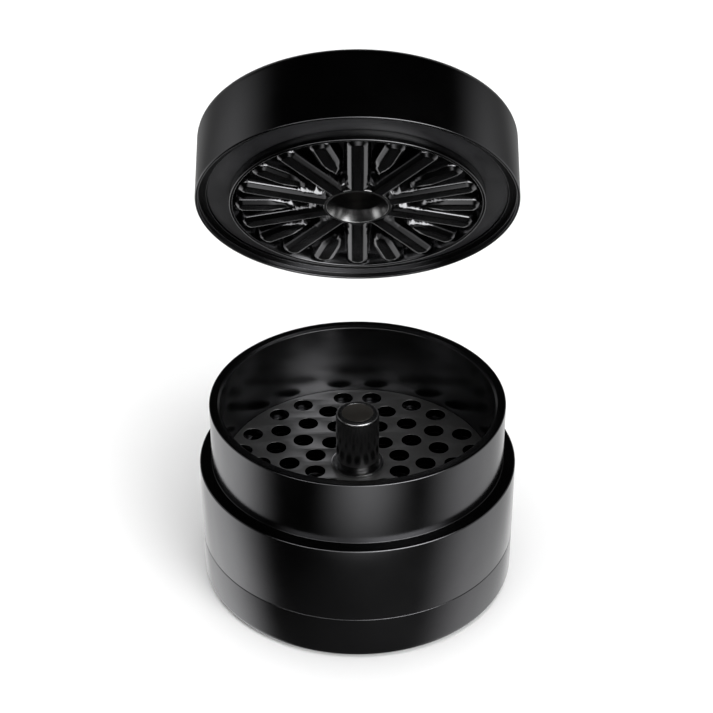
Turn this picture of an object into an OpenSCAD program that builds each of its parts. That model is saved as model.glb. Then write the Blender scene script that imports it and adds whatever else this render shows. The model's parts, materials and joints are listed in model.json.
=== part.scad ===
// Twist grinder with a perforated milling plate: catch cup, screw-on chamber, and a lid
// that carries a ribbed rotor. The lid is drawn lifted off and tipped back.

/* [Body] */
// Outer diameter of the cup, the chamber and the lid
body_d = 63; // [62.8:0.1:63.2]
// Height of the catch cup up to the seam
cup_h = 9.6; // [9.5:0.1:9.8]
// Height of the chamber from the seam to its flange
chamber_h = 16.6; // [16.4:0.1:16.8]
// Height of the thin-walled neck above the flange
neck_h = 13.3; // [13.2:0.1:13.3]
// Outer diameter of the neck
neck_d = 58.2; // [58.1:0.1:58.2]
// Bore of the neck
neck_bore = 54; // [53.8:0.1:54.2]
// Thickness of the cup's floor
floor_t = 2; // [1.8:0.1:2.4]

/* [Milling plate] */
// Depth of the plate's top face below the flange
plate_drop = 2.5; // [2.4:0.1:2.6]
// Thickness of the plate
plate_t = 2; // [1.9:0.1:2.1]
// Diameter of the holes
hole_d = 4.1; // [3.8:0.1:4.4]
// Radii of the four single rings of holes
ring_r = [8.9, 13.7, 17.4, 19.5];
// Radius of the outer ring of paired holes
pair_r = 23.8; // [23.7:0.1:23.9]
// Angle from the middle of a pair to each hole
pair_angle = 7.3; // [7.1:0.1:7.5]
// Holes in each single ring, and pairs in the outer ring
hole_count = 10; // [10:1:10]

/* [Post] */
// Height of the post above the plate
post_h = 12.3; // [12.1:0.1:12.4]
// Diameter of the post
post_d = 8.6; // [8.5:0.1:8.7]
// Diameter of the collar at the post's foot
collar_d = 10.6; // [10.4:0.1:10.8]

/* [Lid] */
// Height of the lid
lid_h = 15.6; // [15.6:0.1:15.9]
// Depth of the thin lip around the lid's mouth
lip_depth = 1.2; // [1.1:0.1:1.3]
// Depth of the glide ring's face inside the mouth
glide_depth = 1.6; // [1.5:0.1:1.7]
// Diameter of the rotor
rotor_d = 49.8; // [49.6:0.1:49.8]
// How far the rotor stands out of the lid's mouth
rotor_out = 0.6; // [0.5:0.1:0.7]
// Height of the ribs above the rotor's web
rib_h = 2.8; // [2.6:0.1:3]
// Width of a rib at its root
rib_w = 4.7; // [4.5:0.1:4.8]
// Number of ribs, long and short ones in turn
rib_count = 20; // [20:2:20]

/* [Lid position] */
// Angle by which the open lid is tipped
lid_tilt = 56.8; // [56:0.2:58]
// Distance of the tipping axis behind the body's axis
swing_y = 40.9; // [40.7:0.1:41.3]
// Height of the tipping axis
swing_z = 40.7; // [40.5:0.1:41.2]

/* [Hidden] */
$fn = 96;

black = [0.05, 0.05, 0.055];
steel = [0.72, 0.72, 0.74];
rubber = [0.12, 0.12, 0.12];
polymer = [0.09, 0.09, 0.1];
over = 1;             // how far a cutting shape runs past the face it cuts
gap = 0.05;           // clearance of a sliding or turning fit
snug = 0.02;          // clearance of a pressed or glued fit
edge = 0.3;           // small edge break
fine_edge = 0.15;     // finer edge break
body_r = body_d / 2;
flange_z = cup_h + chamber_h;
rim_z = flange_z + neck_h;
plate_z = flange_z - plate_drop;
plate_bottom = plate_z - plate_t;
neck_r = neck_d / 2;
bore_r = neck_bore / 2;

// Screw thread between the cup and the chamber
pitch = 1.5;
thread_start = 20;    // angle where the ridges start
thread_sink = 0.15;   // depth of a ridge's foot inside its wall
male_w = 0.66;        // widths of the ridges at the wall and at the crest
female_w = 0.6;
crest_w = 0.3;
thread_turns = 1.8;
thread_root = 28.7;   // the cup's spigot
thread_crest = 29.3;
female_root = 29.45;  // the chamber's bore
female_crest = 28.85;
spigot_h = 5.2;
spigot_wall = 1.7;
thread_z = cup_h + 1.9;
thread_bore_z = cup_h + spigot_h + 0.8;
cup_bore_r = thread_root - spigot_wall;
cup_corner = 1.6;
scoop_r = 4;

// Flat seal in the chamber's lower face
seal_in = 29.5;
seal_out = 30.3;
seal_t = 0.7;
seam_gap = 0.04;
flange_edge = 0.4;
rim_bevel = 0.45;

// Plate seat
lower_bore_r = 27.4;
ledge_r = 24.9;
ledge_t = 1.5;
plate_r = bore_r - gap;
plate_seal_r = 26;    // radius of the plate's seal
plate_seal_s = 0.45;  // section radius of that seal

// Post
post_r = post_d / 2;
waist_r = 3.6;
waist_h = 1.6;
collar_t = 0.6;
collar_r = collar_d / 2;
collar_edge = 0.25;
post_round = 0.9;     // rounding of the post's top edge
magnet_r = 3.2;
magnet_t = 3;
spigot_r = 2.4;       // the post's foot in the plate's middle hole
screw_r = 1.5;
screw_head_r = 2.75;
screw_head_t = 1.9;
screw_depth = 5;
socket_share = 0.6;   // depth of the hex socket, as a share of the head
washer_r = 4;
washer_t = 0.6;
hex_w = 2.5;

// Lid, measured up from its mouth
web_t = 2;            // the rotor's disc behind its ribs
lip_wall = 0.6;
neck_play = 0.2;
rest_gap = 0.1;       // between the neck's rim and the glide ring
lip_r = body_r - lip_wall;
skirt_r = neck_r + neck_play;
top_wall = 0.8;
groove_top = lid_h - top_wall;
seat_t = 0.3;
glide_t = 0.6;
lid_closed_z = rim_z - glide_depth + rest_gap;
lid_round = 2.4;
web_front = rib_h - rotor_out;
boss_face = web_front + web_t;
boss_roof = lid_h - 2 * top_wall;
rotor_r = rotor_d / 2;
rotor_step = 0.6;     // step behind the rotor's rim, which clears the glide ring
rotor_step_z = glide_depth - rest_gap;
rotor_back_r = rotor_r - rotor_step;
boss_in = 21.6;
hub_boss_r = 8.8;
hub_r = 7.2;
hub_drop = 0.4;       // depth of the hub's face behind the ribs' tops
hub_face = hub_drop - rotor_out;
bush_r = 6.6;
bush_bore = 5.3;
bush_mouth_r = 6.1;
bush_mouth_depth = 2;
bush_end = 10.4;
hub_magnet_t = 2.2;
keeper_t = 0.8;
rim_wall = 0.7;       // thickness of the rotor's rim at its face
rim_foot = 1.2;       // and at its web
pin_r = 1;
pin_l = 4;
pin_in_web = 1.5;
pin_circle = 22.9;
pin_count = 4;
pin_start = 45;       // angle of the first pin
rib_end = 22.9;       // radius where the ribs' flat tops end
rib_top_w = 2.2;
shoulder_w = 1;       // sloping shoulder around a rib's flat top
shoulder_drop = 0.66;
short_rib_foot = 11;  // radii between which a short rib climbs from the web
short_rib_top = 15.5;
glide_play = 0.15;
glide_out = skirt_r - rest_gap;
glide_in = rotor_back_r + glide_play;
spring_in = 25.6;
spring_out = 28.4;
spring_turns = 3;
spring_waves = 3.5;
strip_t = 0.19;

// A ring or a disc of rectangular section, from z0 up to z1
module ring(r_out, r_in, z0, z1) {
    rotate_extrude() translate([r_in, z0]) square([r_out - r_in, z1 - z0]);
}

// Half section of a round block from z0 up to z1, with its outer edges broken
module block(r, z0, z1, low = edge, high = edge) {
    polygon([[0, z0], [r - low, z0], [r, z0 + low], [r, z1 - high], [r - high, z1], [0, z1]]);
}

// Carries the lid from its closed place on the neck to its open, tipped place
module on_lid() {
    translate([0, swing_y, swing_z])
        rotate([-lid_tilt, 0, 0])
            translate([0, -swing_y, lid_closed_z - swing_z]) children();
}

// One helical ridge that stands on a wall: radii of the wall and of the ridge's crest,
// the height where it starts, its turns and its width at the wall
module thread_ridge(wall, crest, z0, turns, wall_w) {
    steps = 48;
    lead_in = 8;      // steps over which the ridge grows at its start and dies at its end
    n = round(turns * steps);
    back = wall - sign(crest - wall) * thread_sink;
    points = [for (i = [0:n])
        let (a = thread_start + 360 * i / steps, z = z0 + pitch * a / 360,
            tip = wall + (crest - wall) * min(1, (i + 2) / lead_in, (n - i + 2) / lead_in))
        each [for (c = [[back, -wall_w], [tip, -crest_w], [tip, crest_w], [back, wall_w]])
            [c[0] * cos(a), c[0] * sin(a), z + c[1] / 2]]];
    sides = [for (i = [0:n - 1], k = [0:3])
        [4 * i + k, 4 * i + (k + 1) % 4, 4 * i + 4 + (k + 1) % 4, 4 * i + 4 + k]];
    ends = [[3, 2, 1, 0], [4 * n, 4 * n + 1, 4 * n + 2, 4 * n + 3]];
    faces = concat(sides, ends);
    polyhedron(points, crest > wall ? faces : [for (f = faces) [for (k = [3:-1:0]) f[k]]]);
}

module catch_cup() {
    color(black) {
        rotate_extrude() difference() {
            union() {
                square([body_r - cup_corner, cup_h]);
                translate([body_r - cup_corner, cup_corner]) circle(cup_corner);
                translate([0, cup_corner]) block(body_r, 0, cup_h - cup_corner, 0, fine_edge);
                block(thread_root, 0, cup_h + spigot_h, 0, edge);
            }
            translate([0, floor_t]) square([cup_bore_r - scoop_r, cup_h + spigot_h]);
            translate([0, floor_t + scoop_r]) square([cup_bore_r, cup_h + spigot_h]);
            translate([cup_bore_r - scoop_r, floor_t + scoop_r]) circle(scoop_r);
        }
        thread_ridge(thread_root, thread_crest, thread_z, thread_turns, male_w);
    }
}

module thread_seal() {
    color(rubber) ring(seal_out - gap, seal_in + gap, cup_h, cup_h + seal_t);
}

module grinding_chamber() {
    color(black) {
        rotate_extrude() difference() {
            union() {
                block(body_r, cup_h + seam_gap, flange_z, fine_edge, flange_edge);
                block(neck_r, flange_z - over, rim_z, 0, edge);
            }
            polygon([[0, rim_z + over], [bore_r + rim_bevel + over, rim_z + over],
                [bore_r + rim_bevel, rim_z], [bore_r, rim_z - rim_bevel], [bore_r, plate_bottom],
                [ledge_r, plate_bottom], [ledge_r, plate_bottom - ledge_t],
                [lower_bore_r, plate_bottom - ledge_t],
                [lower_bore_r, thread_bore_z + female_root - lower_bore_r],
                [female_root, thread_bore_z],
                [female_root, cup_h - over], [0, cup_h - over]]);
            translate([seal_in, cup_h - over]) square([seal_out - seal_in, over + seal_t + gap]);
            translate([plate_seal_r - plate_seal_s - gap, plate_bottom - 2 * plate_seal_s - gap])
                square([2 * (plate_seal_s + gap), 2 * plate_seal_s + over]);
        }
        thread_ridge(female_root, female_crest, thread_z + pitch / 2, thread_turns, female_w);
    }
}

module milling_plate() {
    color(black) difference() {
        rotate_extrude() block(plate_r, plate_bottom, plate_z, fine_edge, fine_edge);
        for (k = [0:hole_count - 1]) {
            turn = 360 * k / hole_count;
            half = 180 / hole_count;
            for (hole = [[ring_r[0], 0], [ring_r[1], half], [ring_r[2], 0], [ring_r[3], half],
                    [pair_r, -pair_angle], [pair_r, pair_angle]])
                rotate(90 + turn + hole[1]) translate([hole[0], 0, plate_bottom - over])
                    cylinder(h = plate_t + 2 * over, d = hole_d);
        }
        translate([0, 0, plate_bottom - over]) cylinder(h = plate_t + 2 * over, r = spigot_r + gap);
    }
}

module plate_seal() {
    color(rubber) rotate_extrude()
        translate([plate_seal_r, plate_bottom - plate_seal_s - snug / 2]) circle(plate_seal_s);
}

module centre_post() {
    top = plate_z + post_h;
    magnet_pocket = magnet_r + snug;
    pocket_t = magnet_t + keeper_t;
    color(black) rotate_extrude() difference() {
        union() {
            translate([0, plate_bottom + fine_edge]) square([spigot_r, plate_t]);
            translate([0, plate_z]) square([waist_r, waist_h + edge]);
            block(post_r, plate_z + waist_h, top - post_round, edge, 0);
            translate([0, plate_z + waist_h + edge])
                square([post_r - post_round, top - plate_z - waist_h - edge]);
            translate([post_r - post_round, top - post_round]) circle(post_round);
        }
        translate([0, plate_bottom]) square([screw_r + snug, screw_depth]);
        translate([0, top - pocket_t]) square([magnet_pocket, pocket_t + over]);
    }
}

module post_collar() {
    color(steel) rotate_extrude() difference() {
        block(collar_r, plate_z, plate_z + collar_t, 0, collar_edge);
        translate([0, plate_z - over]) square([waist_r + gap, collar_t + 2 * over]);
    }
}

module post_washer() {
    color(steel) ring(washer_r, screw_r + 2 * gap, plate_bottom - washer_t, plate_bottom);
}

module post_screw() {
    seat = plate_bottom - washer_t;
    color(steel) difference() {
        rotate_extrude() union() {
            block(screw_head_r, seat - screw_head_t, seat, edge, 0);
            block(screw_r, seat - edge, plate_bottom + screw_depth - edge, 0, edge);
        }
        translate([0, 0, seat - screw_head_t - over])
            cylinder(h = over + screw_head_t * socket_share, d = hex_w / cos(30), $fn = 6);
    }
}

module post_magnet() {
    top = plate_z + post_h;
    color(steel) rotate_extrude() block(magnet_r, top - magnet_t, top, 0, fine_edge);
}

module post_keeper() {
    start = plate_z + post_h - magnet_t - keeper_t;
    color(steel) ring(magnet_r, 0, start, start + keeper_t);
}

module lid_shell() {
    bore = bush_r + snug;
    magnet_roof = bush_end + hub_magnet_t + keeper_t + gap;
    color(black) on_lid() difference() {
        rotate_extrude() difference() {
            union() {
                block(body_r, 0, lid_h - lid_round, edge, 0);
                square([body_r - lid_round, lid_h]);
                translate([body_r - lid_round, lid_h - lid_round]) circle(lid_round);
            }
            translate([0, -over]) square([lip_r, over + lip_depth]);
            square([skirt_r, boss_face]);
            translate([rotor_back_r, 0]) square([skirt_r - rotor_back_r, groove_top]);
            translate([hub_boss_r, 0]) square([boss_in - hub_boss_r, boss_roof]);
            square([bore, magnet_roof]);
        }
        for (k = [0:pin_count - 1]) rotate(pin_start + 360 * k / pin_count)
            translate([pin_circle, 0, boss_face - over])
                cylinder(h = over + pin_l - pin_in_web + gap, r = pin_r + snug);
    }
}

// Straight ribs with sloping shoulders, from radius r0 out. The first one points at the
// given angle. A turned outline, from the axis out, trims their ends.
module ribs(first, r0, outline) {
    shoulder_half = rib_top_w / 2 + shoulder_w;
    count = rib_count / 2;
    intersection() {
        union() for (k = [0:count - 1]) rotate(first + 360 * k / count)
            translate([r0, 0, web_front]) rotate([90, 0, 90]) linear_extrude(rotor_back_r - r0)
                polygon([[-rib_w / 2, over], [-rib_w / 2, 0],
                    [-shoulder_half, shoulder_drop - rib_h], [-rib_top_w / 2, -rib_h],
                    [rib_top_w / 2, -rib_h], [shoulder_half, shoulder_drop - rib_h],
                    [rib_w / 2, 0], [rib_w / 2, over]]);
        rotate_extrude() polygon(concat(outline, [[rib_end, -rotor_out],
            [rib_end + shoulder_w, shoulder_drop - rotor_out],
            [rotor_back_r - gap, web_front + over]]));
    }
}

module rotor() {
    long_start = hub_r - over;
    rim_in = rotor_r - rim_wall;
    color(black) on_lid() difference() {
        union() {
            rotate_extrude() {
                polygon([[rim_in, -rotor_out], [rotor_r - edge, -rotor_out],
                    [rotor_r, edge - rotor_out], [rotor_r, rotor_step_z],
                    [rotor_back_r, rotor_step_z], [rotor_back_r, web_front + over],
                    [rotor_r - rim_foot, web_front + over], [rotor_r - rim_foot, web_front]]);
                translate([0, web_front]) square([rotor_back_r, web_t]);
                translate([0, hub_face]) square([hub_r, web_front - hub_face + over]);
            }
            ribs(90, long_start, [[0, web_front + over], [0, -rotor_out]]);
            ribs(90 + 360 / rib_count, short_rib_foot, [[short_rib_foot, web_front + over],
                [short_rib_foot, web_front], [short_rib_top, -rotor_out]]);
        }
        translate([0, 0, -rotor_out - over])
            cylinder(h = boss_face + rotor_out + 2 * over, r = bush_r + snug);
        for (k = [0:pin_count - 1]) rotate(pin_start + 360 * k / pin_count)
            translate([pin_circle, 0, boss_face - pin_in_web - gap])
                cylinder(h = pin_in_web + over, r = pin_r + snug);
    }
}

module drive_pins() {
    color(steel) on_lid() for (k = [0:pin_count - 1]) rotate(pin_start + 360 * k / pin_count)
        translate([pin_circle, 0, boss_face - pin_in_web]) cylinder(h = pin_l, r = pin_r);
}

module hub_bush() {
    color(steel) on_lid() rotate_extrude() difference() {
        block(bush_r, hub_face, bush_end, fine_edge, 0);
        polygon([[0, hub_face - over], [bush_mouth_r, hub_face - over], [bush_mouth_r, hub_face],
            [bush_bore, bush_mouth_depth], [bush_bore, bush_end + over], [0, bush_end + over]]);
    }
}

module hub_magnet() {
    color(steel) on_lid() ring(bush_r, 0, bush_end, bush_end + hub_magnet_t);
}

module magnet_keeper() {
    start = bush_end + hub_magnet_t;
    color(steel) on_lid() ring(bush_r, 0, start, start + keeper_t);
}

module glide_ring() {
    color(polymer) on_lid() rotate_extrude() difference() {
        block(glide_out, glide_depth, glide_depth + glide_t, fine_edge, fine_edge);
        translate([0, glide_depth - over]) square([glide_in, glide_t + 2 * over]);
    }
}

// A flat strip on edge-to-edge waves, flattened where its first and last turns bear
module ring_spring() {
    steps = 60;
    n = spring_turns * steps;
    z0 = glide_depth + glide_t + gap;
    rise = groove_top - seat_t - gap - strip_t - z0;
    wave = rise / spring_turns / 2 - strip_t;
    points = [for (i = [0:n])
        let (a = 360 * i / steps, ramp = min(1, i / steps * 2, (n - i) / steps * 2),
            z = z0 + rise * i / n + ramp * wave * (1 - cos(a * spring_waves)) / 2
                - ramp * wave / 2)
        each [for (c = [[spring_in, 0], [spring_out, 0], [spring_out, strip_t], [spring_in, strip_t]])
            [c[0] * cos(a), c[0] * sin(a), max(z, z0) + c[1]]]];
    sides = [for (i = [0:n - 1], k = [0:3])
        [4 * i + k, 4 * i + (k + 1) % 4, 4 * i + 4 + (k + 1) % 4, 4 * i + 4 + k]];
    color(steel) on_lid()
        polyhedron(points, concat(sides, [[3, 2, 1, 0], [4 * n, 4 * n + 1, 4 * n + 2, 4 * n + 3]]));
}

module spring_seat() {
    color(polymer) on_lid()
        ring(glide_out, glide_in, groove_top - seat_t, groove_top - snug);
}

catch_cup();
thread_seal();
grinding_chamber();
milling_plate();
plate_seal();
centre_post();
post_collar();
post_washer();
post_screw();
post_magnet();
post_keeper();
lid_shell();
rotor();
drive_pins();
hub_bush();
hub_magnet();
magnet_keeper();
glide_ring();
ring_spring();
spring_seat();
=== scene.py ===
"""Looks for a black anodised twist grinder: turned cup, chamber, plate, post and a ribbed lid."""

import json
import math

import bmesh
import bpy
from bpy.props import FloatProperty, FloatVectorProperty, IntProperty, PointerProperty
from mathutils import Matrix, Vector


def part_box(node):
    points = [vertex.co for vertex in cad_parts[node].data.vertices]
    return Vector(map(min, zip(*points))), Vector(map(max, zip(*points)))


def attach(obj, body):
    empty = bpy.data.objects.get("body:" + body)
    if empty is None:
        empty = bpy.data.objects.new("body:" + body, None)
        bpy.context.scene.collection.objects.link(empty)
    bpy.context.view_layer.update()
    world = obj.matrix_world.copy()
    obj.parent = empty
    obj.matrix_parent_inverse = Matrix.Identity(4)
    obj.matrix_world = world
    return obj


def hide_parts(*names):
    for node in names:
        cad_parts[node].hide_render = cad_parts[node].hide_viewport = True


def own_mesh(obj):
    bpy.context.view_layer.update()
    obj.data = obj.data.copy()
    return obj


bl_info = {
    "name": "Twist grinder",
    "version": (1, 0, 0),
    "blender": (4, 5, 0),
    "location": "View3D > Sidebar > Grinder",
    "description": "Builds the turned shells, milling plate, post and ribbed lid of a twist grinder",
    "category": "Object",
}

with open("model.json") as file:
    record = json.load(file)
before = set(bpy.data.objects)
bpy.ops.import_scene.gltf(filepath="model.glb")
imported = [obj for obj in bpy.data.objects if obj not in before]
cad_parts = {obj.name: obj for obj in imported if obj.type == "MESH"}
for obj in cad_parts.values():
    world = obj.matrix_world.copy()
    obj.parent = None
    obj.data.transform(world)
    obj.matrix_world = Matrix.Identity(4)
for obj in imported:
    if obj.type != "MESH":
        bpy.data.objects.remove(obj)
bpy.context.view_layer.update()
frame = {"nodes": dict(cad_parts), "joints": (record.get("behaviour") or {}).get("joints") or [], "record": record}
JOINTS = {joint["name"]: joint for joint in frame["joints"]}
MM = 0.001
TAU = 2 * math.pi


# ---------------------------------------------------------------- sizes from the frame


def low(node):
    """Height of a node's lowest point."""
    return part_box(node)[0][2]


def high(node):
    """Height of a node's highest point."""
    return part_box(node)[1][2]


def half_width(node):
    """Radius of a round node whose axis is the body's."""
    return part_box(node)[1][0]


# Thread between the cup and the chamber
THREAD_START = 1.9 * MM
THREAD_TURNS = 1.8
THREAD_TURN_IN = math.radians(20)
THREAD_SINK = 0.15 * MM
MALE_FOOT = 0.66 * MM
FEMALE_FOOT = 0.6 * MM
RIDGE_CREST = 0.3 * MM
THREAD_RELIEF = 0.8 * MM
THREAD_CONE = 2 * MM

# Small clearances, edges and walls
NEAR_AXIS = 0.01 * MM
SEAL_PLAY = 0.05 * MM
RIM_BEVEL = 0.45 * MM
LEDGE_T = 1.5 * MM
LID_TOP_T = 2 * MM
POST_SPIGOT_R = 2.4 * MM
MAGNET_PLAY = 0.06 * MM
MAGNET_POCKET = 0.12 * MM
MAGNET_SINK = 0.03 * MM
COLLAR_STEP = 0.15 * MM
COLLAR_RIM = 0.8 * MM
COLLAR_DISH = 0.9 * MM
COLLAR_PLAY = 0.05 * MM
PLATE_GRIP = 0.4 * MM

# Extra rings of points on flat faces, and the lean past which a face is a hole's wall, which takes the darker
# shell finish as painted shade
CUP_FLOOR_RING = 8 * MM
CUP_FOOT_RING = 20 * MM
LID_TOP_RING = 24 * MM
PAINTED_SHADE_WALL_LEAN = 0.2

# Camera, seen from the middle of the flange
CAMERA_LENS = 88.06
CAMERA_DISTANCE = 0.350
CAMERA_LIFT = math.radians(35.4)
CAMERA_DIP = math.radians(32.24)
CAMERA_SIDE = -0.0002

# Studio
FLOOR_R = 4.0
FLOOR_GLOW_START = 0.45
FLOOR_GLOW_FULL = 1.3
BACKDROP = 0.93
FAINT_LIGHT = 0.004
CARD_HALF = 0.5
CARD_Z = 0.0005
CARD_SHIFT = 0.012
NOISE_ROUGHNESS = 0.55
RING_BUMP_DEPTH = 0.02 * MM

PLATE_TOP = high("milling_plate")
PLATE_BOTTOM = low("milling_plate")
POST_TOP = high("centre_post")
RIM = high("grinding_chamber")
SEAM = low("thread_seal")
BODY_R = half_width("catch_cup")


def metres(name, text, default, low_limit=0.0):
    """A length property in metres."""
    return FloatProperty(name=name, description=text, default=default, min=low_limit,
                         unit="LENGTH", subtype="DISTANCE", precision=5)


def colour(name, text, default):
    """A colour property."""
    return FloatVectorProperty(name=name, description=text, default=default, size=3,
                               min=0.0, max=1.0, subtype="COLOR")


class GrinderBodySizes(bpy.types.PropertyGroup):
    """Sizes of the cup and the chamber"""

    neck_r: metres("Neck radius", "Outside radius of the thin neck", 29.1 * MM)
    bore_r: metres("Bore radius", "Radius of the grinding chamber", 27.0 * MM)
    neck_h: metres("Neck height", "Height of the neck above the flange", 13.3 * MM)
    cup_bore_r: metres("Cup bore", "Inside radius of the catch cup", 27.0 * MM)
    floor_t: metres("Cup floor", "Thickness of the cup's floor", 2.0 * MM)
    scoop_r: metres("Scoop radius", "Fillet inside the cup, for a finger", 4.0 * MM)
    spigot_r: metres("Spigot radius", "Radius of the cup's threaded spigot", 28.7 * MM)
    spigot_h: metres("Spigot height", "Height of the spigot above the seam", 5.2 * MM)
    thread_crest: metres("Thread crest", "Radius over the cup's thread", 29.3 * MM)
    chamber_root: metres("Chamber thread bore", "Radius of the chamber's threaded bore", 29.45 * MM)
    chamber_crest: metres("Chamber thread crest", "Radius inside the chamber's thread", 28.85 * MM)
    pitch: metres("Thread pitch", "Rise of the thread in one turn", 1.5 * MM)
    ledge_r: metres("Ledge radius", "Inside radius of the plate's ledge", 24.9 * MM)
    lower_bore_r: metres("Lower bore", "Radius of the chamber below the ledge", 27.4 * MM)
    foot_round: metres("Foot radius", "Rounding of the cup's bottom edge", 1.6 * MM)


class GrinderPlateSizes(bpy.types.PropertyGroup):
    """Sizes of the milling plate and its holes"""

    hole_r: metres("Hole radius", "Radius of each hole", 2.05 * MM)
    ring_1: metres("First ring", "Radius of the innermost ring of holes", 8.9 * MM)
    ring_2: metres("Second ring", "Radius of the second ring of holes", 13.7 * MM)
    ring_3: metres("Third ring", "Radius of the third ring of holes", 17.4 * MM)
    ring_4: metres("Fourth ring", "Radius of the fourth ring of holes", 19.5 * MM)
    pair_r: metres("Outer ring", "Radius of the ring of paired holes", 23.8 * MM)
    pair_angle: FloatProperty(name="Pair angle", description="Angle from a pair's middle to a hole",
                              default=math.radians(7.3), subtype="ANGLE", unit="ROTATION")
    count: IntProperty(name="Holes in a ring", description="Holes in each single ring",
                       default=10, min=3, max=24)
    burr: metres("Edge break", "Rounding of the holes' edges", 0.08 * MM)


class GrinderPostSizes(bpy.types.PropertyGroup):
    """Sizes of the centre post, its collar and its magnet"""

    shaft_r: metres("Post radius", "Radius of the post", 4.3 * MM)
    waist_r: metres("Waist radius", "Radius of the narrow foot", 3.6 * MM)
    waist_h: metres("Waist height", "Height of the narrow foot", 1.6 * MM)
    bevel: metres("Top rounding", "Rounding around the post's top", 0.9 * MM)
    magnet_r: metres("Magnet radius", "Radius of the magnet in the post", 3.2 * MM)
    collar_t: metres("Collar thickness", "Thickness of the collar at the foot", 0.6 * MM)


class GrinderLidSizes(bpy.types.PropertyGroup):
    """Sizes of the lid, measured from its mouth"""

    height: metres("Lid height", "Height of the lid", 15.6 * MM)
    crown: metres("Crown rounding", "Rounding of the lid's top edge", 2.4 * MM)
    lip_t: metres("Lip thickness", "Thickness of the lip around the mouth", 0.6 * MM)
    lip_depth: metres("Lip depth", "Depth of the lip", 1.2 * MM)
    skirt_r: metres("Skirt bore", "Radius of the bore around the neck", 29.3 * MM)
    groove_depth: metres("Groove depth", "Depth of the groove for the neck", 14.8 * MM)
    boss_r: metres("Boss radius", "Radius of the boss behind the rotor", 24.3 * MM)
    boss_face: metres("Boss face", "Depth of the boss's face", 4.2 * MM)
    glide_in: metres("Glide ring bore", "Inside radius of the glide ring", 24.45 * MM)
    glide_out: metres("Glide ring radius", "Outside radius of the glide ring", 29.2 * MM)
    glide_depth: metres("Glide ring depth", "Depth of the glide ring's face", 1.6 * MM)
    glide_t: metres("Glide ring thickness", "Thickness of the glide ring", 0.6 * MM)


class GrinderRotorSizes(bpy.types.PropertyGroup):
    """Sizes of the ribbed rotor"""

    radius: metres("Rotor radius", "Radius of the rotor", 24.9 * MM)
    stand_out: metres("Stand-out", "How far the rotor stands out of the mouth", 0.6 * MM)
    rib_h: metres("Rib height", "Height of the ribs", 2.8 * MM)
    rib_top: metres("Rib top", "Width of a rib's flat top", 2.2 * MM)
    shoulder: metres("Shoulder", "Width of the sloping shoulder beside a rib's top", 1.0 * MM)
    shoulder_drop: metres("Shoulder drop", "Depth of the shoulder's lower edge", 0.66 * MM)
    side_w: metres("Side slope", "Width of a rib's steep side", 0.25 * MM)
    rib_end: metres("Rib end", "Radius where the ribs' flat tops end", 22.9 * MM)
    short_full: metres("Short ribs' full width", "Radius where the short ribs are full width", 16.0 * MM)
    short_taper: FloatProperty(name="Short ribs' taper", description="Narrowing of each side inwards",
                               default=0.45, min=0.0, max=2.0)
    rim_wall: metres("Rim wall", "Thickness of the rotor's rim at its face", 0.7 * MM)
    rim_foot: metres("Rim foot", "Thickness of the rotor's rim at its web", 1.2 * MM)
    hub_r: metres("Hub radius", "Radius of the plain hub", 6.9 * MM)
    bore_r: metres("Bore radius", "Radius of the hole for the bush", 6.6 * MM)
    mouth_r: metres("Bush mouth", "Radius of the bush's open mouth", 6.0 * MM)
    bush_bore: metres("Bush bore", "Radius of the bush's bore", 5.3 * MM)
    bush_mouth_depth: metres("Bush mouth depth", "Depth of the bush's flared mouth", 2.0 * MM)
    bush_end: metres("Bush length", "Depth of the bush's far end", 10.4 * MM)
    sectors: IntProperty(name="Long ribs", description="Number of long ribs", default=10, min=4, max=20)


class GrinderColours(bpy.types.PropertyGroup):
    """Colours of the finishes"""

    anodise: colour("Anodised shell", "Polished black anodised aluminium", (0.112, 0.112, 0.116))
    plate: colour("Plate", "Satin black anodised plate", (0.33, 0.33, 0.332))
    rotor: colour("Rotor", "Polished black anodised rotor", (0.105, 0.105, 0.108))
    post: colour("Post", "Dark chrome post", (0.32, 0.32, 0.325))
    steel: colour("Steel", "Turned stainless steel", (0.52, 0.52, 0.52))
    # A darker copy of the steel colour: painted shade on the bush deep in the hub
    bush: colour("Bush", "Turned steel bush in the hub", (0.3, 0.3, 0.3))
    magnet: colour("Magnet", "Dull nickel plate", (0.27, 0.25, 0.225))
    polymer: colour("Polymer", "Black low-friction polymer", (0.012, 0.012, 0.013))
    rubber: colour("Rubber", "Black rubber", (0.011, 0.011, 0.011))
    floor: colour("Floor", "Pale studio floor", (0.86, 0.86, 0.86))


# ---------------------------------------------------------------- finishes


def new_finish(name):
    """A fresh material with its node tree, shader and a coordinate node."""
    finish = bpy.data.materials.new(name)
    finish.use_nodes = True
    nodes = finish.node_tree.nodes
    shader = nodes["Principled BSDF"]
    place = nodes.new("ShaderNodeTexCoord")
    return finish, nodes, finish.node_tree.links, shader, place


def add_noise(nodes, links, source, scale, detail=4.0):
    """A noise texture in object space."""
    noise = nodes.new("ShaderNodeTexNoise")
    noise.inputs["Scale"].default_value = scale
    noise.inputs["Detail"].default_value = detail
    noise.inputs["Roughness"].default_value = NOISE_ROUGHNESS
    links.new(source, noise.inputs["Vector"])
    return noise.outputs["Fac"]


def ramp_value(nodes, links, source, low_in, high_in, low_out, high_out):
    """Maps a value from one range to another."""
    change = nodes.new("ShaderNodeMapRange")
    change.inputs["From Min"].default_value = low_in
    change.inputs["From Max"].default_value = high_in
    change.inputs["To Min"].default_value = low_out
    change.inputs["To Max"].default_value = high_out
    links.new(source, change.inputs["Value"])
    return change.outputs["Result"]


def mix_colour(nodes, links, factor, dark, light):
    """Blends two colours by a factor."""
    mix = nodes.new("ShaderNodeMix")
    mix.data_type = "RGBA"
    mix.inputs["A"].default_value = (*dark, 1)
    mix.inputs["B"].default_value = (*light, 1)
    links.new(factor, mix.inputs["Factor"])
    return mix.outputs["Result"]


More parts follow.
